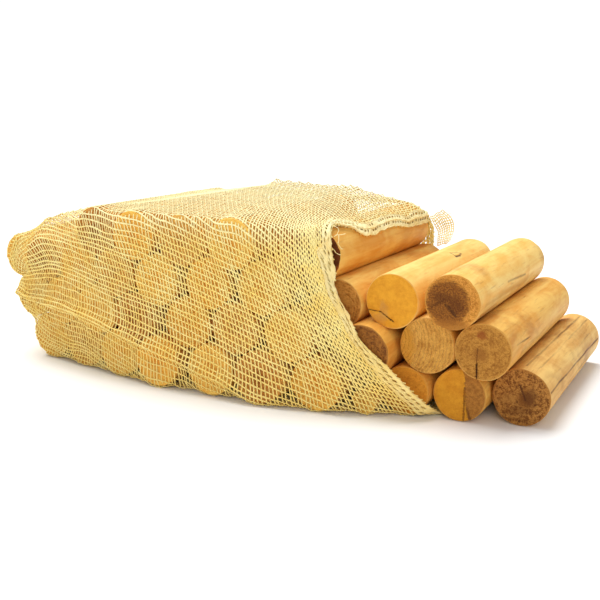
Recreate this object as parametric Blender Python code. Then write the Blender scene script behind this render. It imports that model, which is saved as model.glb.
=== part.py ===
"""A net bag of peeled round logs, lying on its side with its mouth open at one end.

The logs lie across the bag, all along Y, in four rows: each log of an upper row rests in the
valley between two logs of the row below it. X runs along the bag, with the closed end at -X
and the mouth at +X, where the last logs have come out of the bag. +Z is up, and the origin is
under the middle of the whole object.
"""

import math

import bmesh
import bpy

# Logs, metres
LOG_LENGTH = 0.250
LOG_SIDES = 20
LOG_GAP = 0.0006  # between logs that lie against each other
OUT_OF_ROUND = 0.012  # how much flatter a log is one way than the other, as a share
FLAT_SIDES = math.pi  # the turn of a log that is flatter from side to side, as on the floor
TAPER = 0.025  # how much thinner the thin end may be, as a share
FIRST_LOG_X = 0.2967  # the axis of the log furthest from the closed end

# Radius of each log, millimetres, from the mouth towards the closed end
ROW_1 = (27.7, 25.9, 24.0, 26.8, 27.2, 26.6, 27.4, 26.4, 27.8, 26.2)
ROW_2 = (26.5, 26.3, 27.2, 25.6, 26.0, 27.0, 25.2, 26.4, 26.2, 24.8)
ROW_3 = (25.6, 26.0, 24.2, 26.6, 25.6, 26.4, 25.2, 26.0, 25.4, 24.6)
ROW_4 = (26.8, 25.0, 25.8, 25.0, 25.6)

# Room between a log of row 1 and the one before it, millimetres
ROOM_1 = (0.0, 0.0, 0.4, 28.5, 4.0, 3.0, 11.0, 4.0, 5.0, 5.0)
STICK_RADIUS = 12.0  # a thin stick lies in the widest of those rooms
STICK_BESIDE = 2

# How far the front end of each log lies behind the front line, millimetres
BACK_1 = (3, 10, 17, 4, 2, 6, 3, 9, 12, 10)
BACK_2 = (-10, 10, 5, 5, 10, 14, 4, 2, 7, 3)
BACK_3 = (-8, 19, 27, 8, 9, 6, 3, 8, 2, 6)
BACK_4 = (30, 6, 9, 3, 8)
STICK_BACK = 9

# The first logs of each row lie outside the bag
LOGS_OUTSIDE = {1: 2, 2: 2, 3: 2, 4: 0}
# The valley of the row below in which each upper row begins
FIRST_VALLEY = {2: 0, 3: 0, 4: 2}

# Front line, metres: the logs' front ends lie along a shallow curve, seen from above
FRONT_Y = -0.1593
FRONT_MIDDLE_X = 0.0
FRONT_BEND_LEFT = 0.55  # metres of set-back per square metre, towards the closed end
FRONT_BEND_RIGHT = 0.72  # the same, towards the mouth

# Net bag, metres
NET_CLEARANCE = 0.0006  # from the logs to the net
NET_THICKNESS = 0.0012
BAG_LIFT = NET_CLEARANCE + NET_THICKNESS  # the logs in the bag lie on the net
HEM_WIDTH = 0.012
SEAM_GAP = 0.0004

# The loose net above the last bagged logs stands up in a fold: its ridge, x, y and z in metres
FOLD_RIDGE = ((-0.032, 0.046, 0.203), (0.060, 0.046, 0.199))

# Edge of the mouth seen from the front, x and z in metres, from above the bag to below it
MOUTH_EDGE = ((0.128, 0.300), (0.128, 0.120), (0.221, 0.010), (0.229, -0.060))
PAST_THE_BAG = 0.60

LOG_COLOURS = (
    (0.74, 0.47, 0.17),
    (0.80, 0.55, 0.24),
    (0.68, 0.42, 0.15),
    (0.77, 0.50, 0.21),
)
NET_COLOUR = (0.90, 0.76, 0.38)
HEM_COLOUR = (0.93, 0.86, 0.60)


def material(name, colour, roughness):
    """A plain Principled material."""
    made = bpy.data.materials.new(name)
    made.use_nodes = True
    surface = made.node_tree.nodes["Principled BSDF"]
    surface.inputs["Base Color"].default_value = (*colour, 1.0)
    surface.inputs["Roughness"].default_value = roughness
    surface.inputs["Metallic"].default_value = 0.0
    return made


def add_object(name, mesh, surface):
    """Put a mesh into the scene under its name, with its material."""
    made = bpy.data.objects.new(name, mesh)
    mesh.materials.append(surface)
    bpy.context.scene.collection.objects.link(made)
    return made


def beside(previous, radius, lift, room=0.0):
    """The circle (x, z, radius) that lies on a surface at that lift, left of the previous one."""
    x, z, previous_radius = previous
    new_z = lift + radius
    reach = previous_radius + radius + LOG_GAP
    return x - math.sqrt(reach**2 - (new_z - z) ** 2) - room, new_z, radius


def resting(left, right, radius):
    """The circle that touches two others, on the left-hand side on the way from left to right."""
    to_left = left[2] + radius + LOG_GAP
    to_right = right[2] + radius + LOG_GAP
    across, up = right[0] - left[0], right[1] - left[1]
    apart = math.hypot(across, up)
    along = (to_left**2 - to_right**2 + apart**2) / (2 * apart)
    off = math.sqrt(max(to_left**2 - along**2, 0.0))
    return (
        left[0] + (across * along - up * off) / apart,
        left[1] + (up * along + across * off) / apart,
        radius,
    )


def clear_of(circle, other):
    """Whether a circle keeps its gap to another one."""
    apart = math.hypot(circle[0] - other[0], circle[1] - other[1])
    return apart >= circle[2] + other[2] + 0.9 * LOG_GAP


def floor_row():
    """The circles of row 1, from the mouth to the closed end."""
    radii = [radius / 1000 for radius in ROW_1]
    circles = [(FIRST_LOG_X, radii[0], radii[0])]
    for number, radius in enumerate(radii[1:], 1):
        lift = 0.0 if number < LOGS_OUTSIDE[1] else BAG_LIFT
        circles.append(beside(circles[-1], radius, lift, ROOM_1[number] / 1000))
    return circles


def upper_row(row, radii_mm, below):
    """The circles of a row on the one below: each lies in its valley, or rides up on its neighbour
    where the valley is too tight, and the last may lean out over the end of the row below."""
    circles = []
    for number, radius_mm in enumerate(radii_mm):
        left = below[min(FIRST_VALLEY[row] + number + 1, len(below) - 1)]
        right = below[FIRST_VALLEY[row] + number]
        circle = resting(left, right, radius_mm / 1000) if left is not right else None
        if circle is None or (circles and not clear_of(circle, circles[-1])):
            circle = resting(left, circles[-1], radius_mm / 1000)
        circles.append(circle)
    return circles


def front_line(x):
    """How far forward the logs' ends lie at this place along the bag."""
    bend = FRONT_BEND_RIGHT if x > FRONT_MIDDLE_X else FRONT_BEND_LEFT
    return FRONT_Y + bend * (x - FRONT_MIDDLE_X) ** 2


def log_record(name, circle, back_mm, turn, bagged):
    """One log: its circle, where its front end lies, and how its flat sides are turned."""
    x, z, radius = circle
    front = front_line(x) + back_mm / 1000
    return {
        "name": name,
        "x": x,
        "z": z,
        "radius": radius,
        "front": front,
        "turn": turn,
        "bagged": bagged,
    }


def stack():
    """Every log of the pile."""
    rows = {1: floor_row()}
    for row, radii_mm in ((2, ROW_2), (3, ROW_3), (4, ROW_4)):
        rows[row] = upper_row(row, radii_mm, rows[row - 1])
    set_back = {1: BACK_1, 2: BACK_2, 3: BACK_3, 4: BACK_4}
    logs = []
    for row, circles in rows.items():
        for number, circle in enumerate(circles):
            name = f"log_row{row}_{number + 1:02d}"
            bagged = number >= LOGS_OUTSIDE[row]
            turn = FLAT_SIDES if row == 1 else 1.3 * row + 2.1 * number
            logs.append(log_record(name, circle, set_back[row][number], turn, bagged))
    stick = beside(rows[1][STICK_BESIDE], STICK_RADIUS / 1000, BAG_LIFT)
    logs.append(log_record("thin_stick", stick, STICK_BACK, FLAT_SIDES, True))
    return logs


def ring(log, y, share, margin=0.0):
    """The corners of one cross-section of a log, with its radius scaled and then widened."""
    corners = []
    for side in range(LOG_SIDES):
        angle = 2 * math.pi * side / LOG_SIDES
        flat = OUT_OF_ROUND / 2 * (1 - math.cos(2 * angle + log["turn"]))
        radius = log["radius"] * share * (1 - flat) + margin
        corners.append(
            (log["x"] + radius * math.cos(angle), y, log["z"] + radius * math.sin(angle))
        )
    return corners


def log_solid(log, surface):
    """One log: three cross-sections joined by sides, with a flat cut at each end."""
    shape = bmesh.new()
    thin_end = 1 - TAPER / 2 * (1 + math.sin(3 * log["turn"]))
    steps = ((0.0, 1.0), (0.5, (1 + thin_end) / 2), (1.0, thin_end))
    rings = []
    for along, share in steps:
        corners = ring(log, log["front"] + along * LOG_LENGTH, share)
        rings.append([shape.verts.new(corner) for corner in corners])
    for near, far in zip(rings, rings[1:]):
        for side in range(LOG_SIDES):
            after = (side + 1) % LOG_SIDES
            shape.faces.new((near[side], far[side], far[after], near[after]))
    shape.faces.new(rings[0])
    shape.faces.new(reversed(rings[-1]))
    bmesh.ops.recalc_face_normals(shape, faces=shape.faces)
    mesh = bpy.data.meshes.new(log["name"])
    shape.to_mesh(mesh)
    shape.free()
    mesh.shade_smooth()
    mesh.set_sharp_from_angle(angle=math.radians(40))
    return add_object(log["name"], mesh, surface)


def taut_hull(name, logs, margin):
    """The tightest closed skin round the bagged logs and the fold, that far from the logs."""
    shape = bmesh.new()
    for log in logs:
        for y in (log["front"] - margin, log["front"] + LOG_LENGTH + margin):
            for corner in ring(log, y, 1.0, margin):
                shape.verts.new(corner)
    for x, y, z in FOLD_RIDGE:
        shape.verts.new((x, y, z - BAG_LIFT + margin))
    hull = bmesh.ops.convex_hull(shape, input=shape.verts)
    unused = set(hull["geom_interior"]) | set(hull["geom_unused"])
    loose = [item for item in unused if isinstance(item, bmesh.types.BMVert)]
    bmesh.ops.delete(shape, geom=loose, context="VERTS")
    bmesh.ops.recalc_face_normals(shape, faces=shape.faces)
    mesh = bpy.data.meshes.new(name)
    shape.to_mesh(mesh)
    shape.free()
    return mesh


def prism(name, outline):
    """A cutter: an outline in X and Z, carried along Y past both sides of the bag."""
    shape = bmesh.new()
    near = [shape.verts.new((x, -PAST_THE_BAG, z)) for x, z in outline]
    face = shape.faces.new(near)
    carried = bmesh.ops.extrude_face_region(shape, geom=[face])["geom"]
    far = [item for item in carried if isinstance(item, bmesh.types.BMVert)]
    bmesh.ops.translate(shape, verts=far, vec=(0, 2 * PAST_THE_BAG, 0))
    bmesh.ops.recalc_face_normals(shape, faces=shape.faces)
    mesh = bpy.data.meshes.new(name)
    shape.to_mesh(mesh)
    shape.free()
    return cutter(name, mesh)


def cutter(name, mesh):
    """An object that only cuts others."""
    made = bpy.data.objects.new(name, mesh)
    bpy.context.scene.collection.objects.link(made)
    made.hide_render = True
    made.display_type = "WIRE"
    return made


def cut(target, tool, operation):
    """Add an exact Boolean to an object."""
    modifier = target.modifiers.new(tool.name, "BOOLEAN")
    modifier.operation = operation
    modifier.solver = "EXACT"
    modifier.object = tool


def edge_moved(distance):
    """The edge of the mouth, moved that far towards the closed end."""
    return [(x - distance, z) for x, z in MOUTH_EDGE]


def bag(logs):
    """The net bag up to its hem, and the hem as the folded band round the mouth."""
    bagged = [log for log in logs if log["bagged"]]
    inside = cutter("inside_of_bag", taut_hull("inside_of_bag", bagged, NET_CLEARANCE))
    net = add_object(
        "net_bag",
        taut_hull("net_bag", bagged, BAG_LIFT),
        material("net", NET_COLOUR, 0.75),
    )
    hem = add_object(
        "mouth_hem",
        taut_hull("mouth_hem", bagged, BAG_LIFT),
        material("hem", HEM_COLOUR, 0.75),
    )
    top, bottom = MOUTH_EDGE[0][1], MOUTH_EDGE[-1][1]
    far_side = [(PAST_THE_BAG, bottom), (PAST_THE_BAG, top)]
    past_net = prism("past_the_net", edge_moved(HEM_WIDTH + SEAM_GAP) + far_side)
    band = prism("hem_band", edge_moved(0.0) + edge_moved(HEM_WIDTH)[::-1])
    cut(net, inside, "DIFFERENCE")
    cut(net, past_net, "DIFFERENCE")
    cut(hem, inside, "DIFFERENCE")
    cut(hem, band, "INTERSECT")


def main():
    for old in list(bpy.data.objects):
        bpy.data.objects.remove(old, do_unlink=True)
    logs = stack()
    for number, log in enumerate(logs):
        colour = LOG_COLOURS[number % len(LOG_COLOURS)]
        log_solid(log, material(f"{log['name']}_wood", colour, 0.62))
    bag(logs)


main()
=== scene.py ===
"""A net bag of round firewood logs lying on its side, with ten logs showing at its open mouth."""

import bpy
import numpy as np
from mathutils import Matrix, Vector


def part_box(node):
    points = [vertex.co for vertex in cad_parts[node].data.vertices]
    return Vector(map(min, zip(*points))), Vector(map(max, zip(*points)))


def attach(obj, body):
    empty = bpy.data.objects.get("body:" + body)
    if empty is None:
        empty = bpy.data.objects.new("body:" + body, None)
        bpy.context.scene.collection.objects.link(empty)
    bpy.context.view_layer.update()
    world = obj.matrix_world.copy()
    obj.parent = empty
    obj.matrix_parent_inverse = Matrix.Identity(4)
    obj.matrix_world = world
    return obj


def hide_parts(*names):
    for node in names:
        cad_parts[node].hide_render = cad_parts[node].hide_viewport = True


TURN = 6.283  # a whole turn, radians

# Camera, metres and degrees
CAMERA_PLACE = (0.4817, -0.8863, 0.293)
CAMERA_DOWN = 12.38
CAMERA_LEFT = 27.56
LENS_MM = 54.0
SENSOR_MM = 36.0

# Light: strength of the white room as it lights the bag, and as it is seen behind it
ROOM_LIGHT = 0.42
ROOM_SEEN = 1.05

# Logs, metres
LOG_ROUND_POINTS = 112
LOG_HIDDEN_ROUND_POINTS = 64
FACE_RINGS = 26
SIDE_RINGS = 40
RIM_ROUNDING = 0.0011
OUT_OF_ROUND = 0.008
BEND = 0.0003
END_SHARE = 0.02  # share of a log's length that belongs to an end
SNUG = 0.0006  # logs above the floor are this much thicker, so that no light shows between them

# Net, metres
WARP_THREADS = 152
WEFT_THREADS = 144
WEFT_WIDTH = 0.00150
WARP_WIDTH = 0.00170
THREAD_THICKNESS = 0.0008
NET_CLEARANCE = 0.0013
FLOOR_CLEARANCE = 0.0007
THREAD_WANDER = 0.22
THREAD_SIDES = 4
FINE_THREAD = 0.00038  # half the thickness of a thread that has come loose

# Rest of the bag, metres
HEM_WIDTH = 0.0148
HEM_THICKNESS = 0.0009
HEM_LOWEST = 0.0012
HEM_ROWS = 13
HEM_SLIT_ROWS = (3, 4, 8, 9)
HEM_CORDS = (0.02, 0.50, 0.98)
HEM_CORD_WIDTH = 0.0012
HEM_STEPS = 864
HEM_SOURCE_ROWS = 18  # rows of the net that the band can reach over
SEAM_HEIGHT = 0.081
SEAM_X = -0.301
OPEN_END_X = -0.345
SEAM_FRONT = -0.103
SEAM_BACK = 0.132
TIGHT_ALONG = 0.80
TIGHT_ROUND = 0.20
SETTLING_STEP = 0.42
STRAIGHTEN = 0.08
LOOSE_NEAR_SEAM = (0.50, 0.78)
DEEPEST_HOLLOW = 0.0035
DEEPER_AT_SEAM = 0.030
DEEPER_AT_MOUTH = 0.020
PILE_MIDDLE = (-0.02, -0.005, 0.09)
MOUTH_START = 0.038 / 0.95  # share round the bag at which the line of the mouth begins
MOUTH_MEAN_X = 0.222

# Bag before it settles: places along x, and there the heights of its top and bottom and half its depth
FIRST_TOP = ((-0.345, -0.33, -0.30, -0.24, -0.18, 0.2), (0.12, 0.155, 0.175, 0.20, 0.20, 0.21))
FIRST_BOTTOM = ((-0.345, -0.33, -0.30, -0.285), (0.06, 0.05, 0.02, 0.001))
FIRST_DEPTH = ((-0.345, -0.25, -0.15), (0.152, 0.155, 0.166))

# Ridge down the front, the hollow under it and the fan of fine creases from the corner: place and
# width as shares of the way round the bag, height in metres
RIDGE = (0.002, 0.0095, 0.0095)
HOLLOW = (-0.024, 0.013, -0.0045)
FAN = (0.05, 0.09)
FAN_HEIGHT = 0.0016
UNEVENNESS = 0.0007

# Creases along which the warps are drawn together: share round the bag, where each starts and ends as
# shares of the bag's length from the mouth, and how strongly
CREASES = (
    (0.002, 0.10, 0.95, 0.80),
    (0.050, 0.42, 0.97, 0.65),
    (0.098, 0.50, 0.97, 0.60),
    (-0.055, 0.30, 0.85, 0.50),
)
CREASE_REACH = 0.017

# Edge of the mouth as x, y, z, from the tip at the front on the floor, up the front, over and down
MOUTH_FRONT = (
    (0.2235, -0.095, 0.0030),
    (0.2192, -0.112, 0.0110),
    (0.2103, -0.124, 0.0234),
    (0.1997, -0.131, 0.0365),
    (0.1878, -0.137, 0.0490),
    (0.1825, -0.139, 0.0556),
    (0.1682, -0.141, 0.0657),
    (0.1571, -0.1415, 0.0722),
    (0.1514, -0.1405, 0.0857),
    (0.1419, -0.138, 0.0966),
    (0.1296, -0.134, 0.1079),
    (0.1223, -0.132, 0.1165),
    (0.1269, -0.131, 0.1322),
    (0.1210, -0.130, 0.1574),
    (0.1204, -0.129, 0.1686),
)
MOUTH_TOP = (
    (0.1170, -0.122, 0.1790),
    (0.1110, -0.104, 0.1775),
    (0.1143, -0.0867, 0.1735),
    (0.1173, -0.0742, 0.1705),
    (0.1217, -0.0718, 0.1660),
    (0.1247, -0.0587, 0.1606),
    (0.1250, -0.0386, 0.1600),
    (0.1240, -0.0067, 0.1620),
    (0.1245, 0.0205, 0.1610),
    (0.1262, 0.0557, 0.1560),
    (0.1263, 0.1075, 0.1550),
    (0.1280, 0.1290, 0.1560),
)
MOUTH_BACK = (
    (0.1290, 0.1390, 0.1450),
    (0.1280, 0.1400, 0.1200),
    (0.1480, 0.1400, 0.0950),
    (0.1720, 0.1395, 0.0640),
    (0.1960, 0.1370, 0.0360),
    (0.2150, 0.1320, 0.0130),
)
MOUTH_FLOOR = (
    (0.2230, 0.1180, 0.0020),
    (0.2220, 0.0600, 0.0012),
    (0.2225, 0.0000, 0.0012),
    (0.2230, -0.0550, 0.0012),
)

# Fold that runs from the corner of the closed end down the front: x and height round the bag
FOLD_X = (-0.33, -0.149, -0.053, 0.0195, 0.0875, 0.110, 0.222)
FOLD_HEIGHT = (0.078, 0.077, 0.049, 0.0335, 0.0106, 0.0, -0.038)

# Loose fold that stands up on the top of the bag
RAISED_FOLD_X = (-0.058, -0.046, 0.014, 0.056, 0.071, 0.099, 0.118, 0.126)
RAISED_FOLD_Y = (0.060, 0.060, 0.060, 0.064, 0.075, 0.090, 0.105, 0.115)
RAISED_FOLD_Z = (0.186, 0.2045, 0.2005, 0.2005, 0.1935, 0.1850, 0.1770, 0.166)
RAISED_FOLD_SLOPE = 0.45
RAISED_FOLD_BACK_SLOPE = 2.0  # steep, so that it stays inside the bag's back

# Fold at the upper corner of the closed end
CORNER_FOLD_X = (-0.282, -0.253, -0.215, -0.172)
CORNER_FOLD_Y = (-0.110, -0.112, -0.114, -0.116)
CORNER_FOLD_Z = (0.1360, 0.1635, 0.1740, 0.1830)
CORNER_FOLD_SLOPE = 0.30
CORNER_FOLD_FRONT_SLOPE = 3.0  # steep, so that it stays inside the bag's front
LOWEST_LIFTED = 0.13  # the folds hold up nothing below this height

# Curled end of the net behind the top log: corners, upper left, upper right, lower right, lower left
TAIL_CORNERS = (
    (0.1250, 0.1335, 0.1590),
    (0.1415, 0.1250, 0.1700),
    (0.1570, 0.1250, 0.1345),
    (0.1400, 0.1210, 0.1285),
)
TAIL_WEFTS = 14
TAIL_WARPS = 9

# Threads that have come loose at the mouth, from one place to another
LOOSE_THREADS = (
    ((0.1190, -0.1320, 0.1600), (0.1270, -0.1270, 0.1540)),
    ((0.1220, -0.1280, 0.1700), (0.1290, -0.1240, 0.1620)),
    ((0.1160, -0.1180, 0.1790), (0.1240, -0.1150, 0.1700)),
    ((0.1260, 0.1300, 0.1580), (0.1400, 0.1260, 0.1540)),
    ((0.1440, 0.1250, 0.1680), (0.1540, 0.1220, 0.1600)),
)

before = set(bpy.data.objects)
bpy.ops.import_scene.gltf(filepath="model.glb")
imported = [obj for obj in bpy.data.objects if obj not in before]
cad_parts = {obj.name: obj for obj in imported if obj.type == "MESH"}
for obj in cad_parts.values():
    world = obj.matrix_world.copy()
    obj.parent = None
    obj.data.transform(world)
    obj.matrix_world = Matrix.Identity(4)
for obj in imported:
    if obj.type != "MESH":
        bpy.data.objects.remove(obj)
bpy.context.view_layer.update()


# Smooth noise, arrows and interpolation

def waves(seed, *axes, count=7):
    """Smooth noise from -1 to 1: a sum of plane waves with seeded directions, lengths and phases."""
    rng = np.random.default_rng(seed)
    total = np.zeros(np.broadcast(*axes).shape)
    for _ in range(count):
        turns = rng.normal(size=len(axes))
        total = total + np.sin(sum(a * t for a, t in zip(axes, turns)) + rng.uniform(0, TURN))
    return total / np.sqrt(count * 2.0)


def waves_round(seed, angle, fineness, *axes, count=7):
    """The same smooth noise along any axes and round a circle, where it closes."""
    return waves(seed, *axes, np.cos(angle) * fineness, np.sin(angle) * fineness, count=count)


def round_waves(seed, angle, low, high):
    """Smooth noise round a circle: a sum of cosines of whole numbers of turns, so it closes."""
    rng = np.random.default_rng(seed)
    orders = np.arange(low, high)
    sizes = rng.normal(size=len(orders)) / orders
    shifts = rng.uniform(0, TURN, len(orders))
    return (sizes * np.cos(np.asarray(angle)[..., None] * orders + shifts)).sum(-1)


def step(value, low, high):
    """Smoothstep: 0 below low, 1 above high, an even curve between."""
    t = np.clip((value - low) / (high - low), 0.0, 1.0)
    return t * t * (3.0 - 2.0 * t)


def bell(value, middle, width, height=1.0):
    """A bell curve of a value: the height at the middle, and e times less at a width from it."""
    return height * np.exp(-((value - middle) / width) ** 2)


def unit(arrows, least=1e-12):
    """Arrows brought to length 1."""
    return arrows / (np.linalg.norm(arrows, axis=-1, keepdims=True) + least)


def part_along(moves, arrows):
    """The part of each move that lies along a unit arrow."""
    return (moves * arrows).sum(-1, keepdims=True) * arrows


def along(points, fractions, closed=False):
    """Points at given fractions of a line's length, in straight steps between its points."""
    line = np.asarray(points, float)
    if closed:
        line = np.vstack([line, line[:1]])
    steps = np.linalg.norm(np.diff(line, axis=0), axis=1)
    at = np.r_[0.0, np.cumsum(steps)] / steps.sum()
    fractions = np.mod(fractions, 1.0) if closed else fractions
    return np.stack([np.interp(fractions, at, line[:, k]) for k in range(3)], -1)


def resized(grid, rows, columns):
    """A grid of points, closed across, brought to another number of rows and columns in straight steps."""
    across = np.concatenate([grid, grid[:, :1]], axis=1)
    old_rows = np.linspace(0, 1, grid.shape[0])
    old_columns = np.linspace(0, 1, across.shape[1])
    at = np.linspace(0, 1, rows)
    low = np.clip(np.searchsorted(old_rows, at) - 1, 0, len(old_rows) - 2)
    part = ((at - old_rows[low]) / (old_rows[low + 1] - old_rows[low]))[:, None, None]
    tall = across[low] * (1 - part) + across[low + 1] * part
    at = np.arange(columns) / columns
    low = np.clip(np.searchsorted(old_columns, at, side="right") - 1, 0, len(old_columns) - 2)
    part = ((at - old_columns[low]) / (old_columns[low + 1] - old_columns[low]))[None, :, None]
    return tall[:, low] * (1 - part) + tall[:, low + 1] * part


# Meshes from arrays

def mesh_piece(name, points, quads, triangles=None, maps=None, slots=None, materials=()):
    """A piece from arrays of points, four-sided and three-sided faces, a map of two numbers per face
    corner, and a material number per face."""
    triangles = np.zeros((0, 3), int) if triangles is None else triangles
    corners = np.concatenate([quads.ravel(), triangles.ravel()]).astype(np.int32)
    sizes = np.r_[np.full(len(quads), 4), np.full(len(triangles), 3)].astype(np.int32)
    starts = np.r_[0, np.cumsum(sizes)[:-1]].astype(np.int32)
    mesh = bpy.data.meshes.new(name)
    mesh.vertices.add(len(points))
    mesh.vertices.foreach_set("co", np.ascontiguousarray(points, np.float32).ravel())
    mesh.loops.add(len(corners))
    mesh.loops.foreach_set("vertex_index", corners)
    mesh.polygons.add(len(sizes))
    mesh.polygons.foreach_set("loop_start", starts)
    mesh.polygons.foreach_set("loop_total", sizes)
    if slots is not None:
        mesh.polygons.foreach_set("material_index", slots.astype(np.int32))
    mesh.polygons.foreach_set("use_smooth", np.ones(len(sizes), bool))
    if maps is not None:
        layer = mesh.uv_layers.new(name="wood" if len(materials) > 1 else "thread")
        layer.data.foreach_set("uv", np.ascontiguousarray(maps[corners], np.float32).ravel())
    mesh.update(calc_edges=True)
    mesh.validate()
    for material in materials:
        mesh.materials.append(material)
    piece = bpy.data.objects.new(name, mesh)
    bpy.context.scene.collection.objects.link(piece)
    return piece


def grid_faces(rows, columns, closed_across=True, closed_down=False):
    """Corner numbers of the four-sided faces of a grid, row by row."""
    row = np.arange(rows if closed_down else rows - 1)[:, None]
    column = np.arange(columns if closed_across else columns - 1)[None, :]
    below = (row + 1) % rows
    beside = (column + 1) % columns
    faces = np.stack(
        [row * columns + column, row * columns + beside, below * columns + beside, below * columns + column],
        -1,
    )
    return faces.reshape(-1, 4)


def tubes(lines, sideways, outward, half_width, half_thickness, closed):
    """Points, faces and maps of threads: round each line a ring of points at half_width sideways and
    half_thickness outward, joined from ring to ring; open lines are closed at both ends by one face."""
    count, length = lines.shape[:2]
    sides = THREAD_SIDES
    turn = np.arange(sides) * 2 * np.pi / sides
    ring = (
        sideways[:, :, None, :] * (np.cos(turn)[:, None] * half_width[..., None, None])
        + outward[:, :, None, :] * (np.sin(turn)[:, None] * half_thickness)
    )
    points = lines[:, :, None, :] + ring
    one = grid_faces(length, sides, True, closed)
    quads = (one[None] + (np.arange(count) * length * sides)[:, None, None]).reshape(-1, 4)
    if not closed:
        ends = np.arange(count)[:, None] * length * sides
        first = ends + np.array([[3, 2, 1, 0]])
        last = ends + (length - 1) * sides + np.array([[0, 1, 2, 3]])
        quads = np.concatenate([quads, first, last])
    steps = np.linalg.norm(np.diff(lines, axis=1, append=lines[:, -1:]), axis=-1)
    run = np.cumsum(steps, axis=1) * 100.0
    maps = np.empty(points.shape[:3] + (2,))
    maps[..., 0] = run[:, :, None]
    maps[..., 1] = np.arange(sides) / sides
    points = points.reshape(-1, 3)
    if signed_volume(points, quads) < 0:
        quads = quads[:, ::-1]
    return points, quads, maps.reshape(-1, 2)


def signed_volume(points, quads):
    """Six times the volume inside four-sided faces, negative where they point inwards."""
    a, b, c, d = (points[quads[:, k]] for k in range(4))
    return (np.cross(a, b) * c).sum() + (np.cross(a, c) * d).sum()


# Materials

def new_material(name):
    """A material with a Principled shader and its output, its node tree and the shader's node. The
    functions below find the tree by the output that they are given."""
    material = bpy.data.materials.new(name)
    material.use_nodes = True
    return material, material.node_tree, material.node_tree.nodes["Principled BSDF"]


def add(tree, kind, settings=None, inputs=None):
    """A node with its settings, and its inputs linked or set by name or number."""
    made = tree.nodes.new("ShaderNode" + kind)
    for name, value in (settings or {}).items():
        setattr(made, name, value)
    for name, value in (inputs or {}).items():
        if isinstance(value, bpy.types.NodeSocket):
            tree.links.new(value, made.inputs[name])
        else:
            made.inputs[name].default_value = value
    return made


def link(source, target):
    """An output joined to an input."""
    source.id_data.links.new(source, target)


def mixed(amount, first, second):
    """The second colour over the first by an amount."""
    return add(amount.id_data, "Mix", {"data_type": "RGBA"}, {0: amount, 6: first, 7: second}).outputs[2]


def maths(way, first, second=0.0, clamp=False):
    """One sum on one or two values, its result held between 0 and 1 where told."""
    settings = {"operation": way, "use_clamp": clamp}
    return add(first.id_data, "Math", settings, {0: first, 1: second}).outputs[0]


def times(first, second):
    """The product of two values."""
    return maths("MULTIPLY", first, second)


def plus(first, second, clamp=False):
    """The sum of two values, held between 0 and 1 where told."""
    return maths("ADD", first, second, clamp)


def vector(way, first, second=(0, 0, 0)):
    """One sum on one or two arrows: a number for a length or a dot product, else an arrow."""
    made = add(first.id_data, "VectorMath", {"operation": way}, {0: first, 1: second})
    return made.outputs["Value" if way in ("LENGTH", "DOT_PRODUCT") else "Vector"]


def ranged(value, low, high, to_low=0.0, to_high=1.0):
    """A value carried from one range to another along a smooth step."""
    settings = {"interpolation_type": "SMOOTHSTEP", "clamp": True}
    inputs = {0: value, 1: low, 2: high, 3: to_low, 4: to_high}
    return add(value.id_data, "MapRange", settings, inputs).outputs[0]


def noise(place, scale, detail, rough, distortion=0.0):
    """A node with noise from 0 to 1 and with its colour."""
    inputs = {"Vector": place, "Scale": scale, "Detail": detail, "Roughness": rough, "Distortion": distortion}
    return add(place.id_data, "TexNoise", {"noise_dimensions": "3D"}, inputs)


def stretched(place, scale, shift=(0, 0, 0)):
    """A place stretched by a scale on each axis, for grain that runs along the log."""
    inputs = {"Vector": place, "Scale": scale, "Location": shift}
    return add(place.id_data, "Mapping", None, inputs).outputs[0]


def colour(red, green, blue):
    """A linear colour from red, green and blue as a screen shows them, 0 to 255."""
    shown = np.array((red, green, blue)) / 255.0
    linear = np.where(shown <= 0.04045, shown / 12.92, ((shown + 0.055) / 1.055) ** 2.4)
    return (*linear.tolist(), 1.0)


DARK_BROWN = colour(84, 42, 12)


def on_side(node, degrees, y):
    """A place on the side of a log, by the angle round it and the place along it."""
    low, high = (np.array(corner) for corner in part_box(node))
    reach = (high[0] - low[0]) / 2 + SNUG / 2
    turn = np.radians(degrees)
    middle = (low + high) / 2
    return (middle[0] + reach * np.cos(turn), y, middle[2] + reach * np.sin(turn))


def grain_marks(node, *marks):
    """Lines on a log's side from an angle and a place along it to another, with width and strength."""
    return [(on_side(node, *start), on_side(node, *end), *rest) for start, end, *rest in marks]


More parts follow.
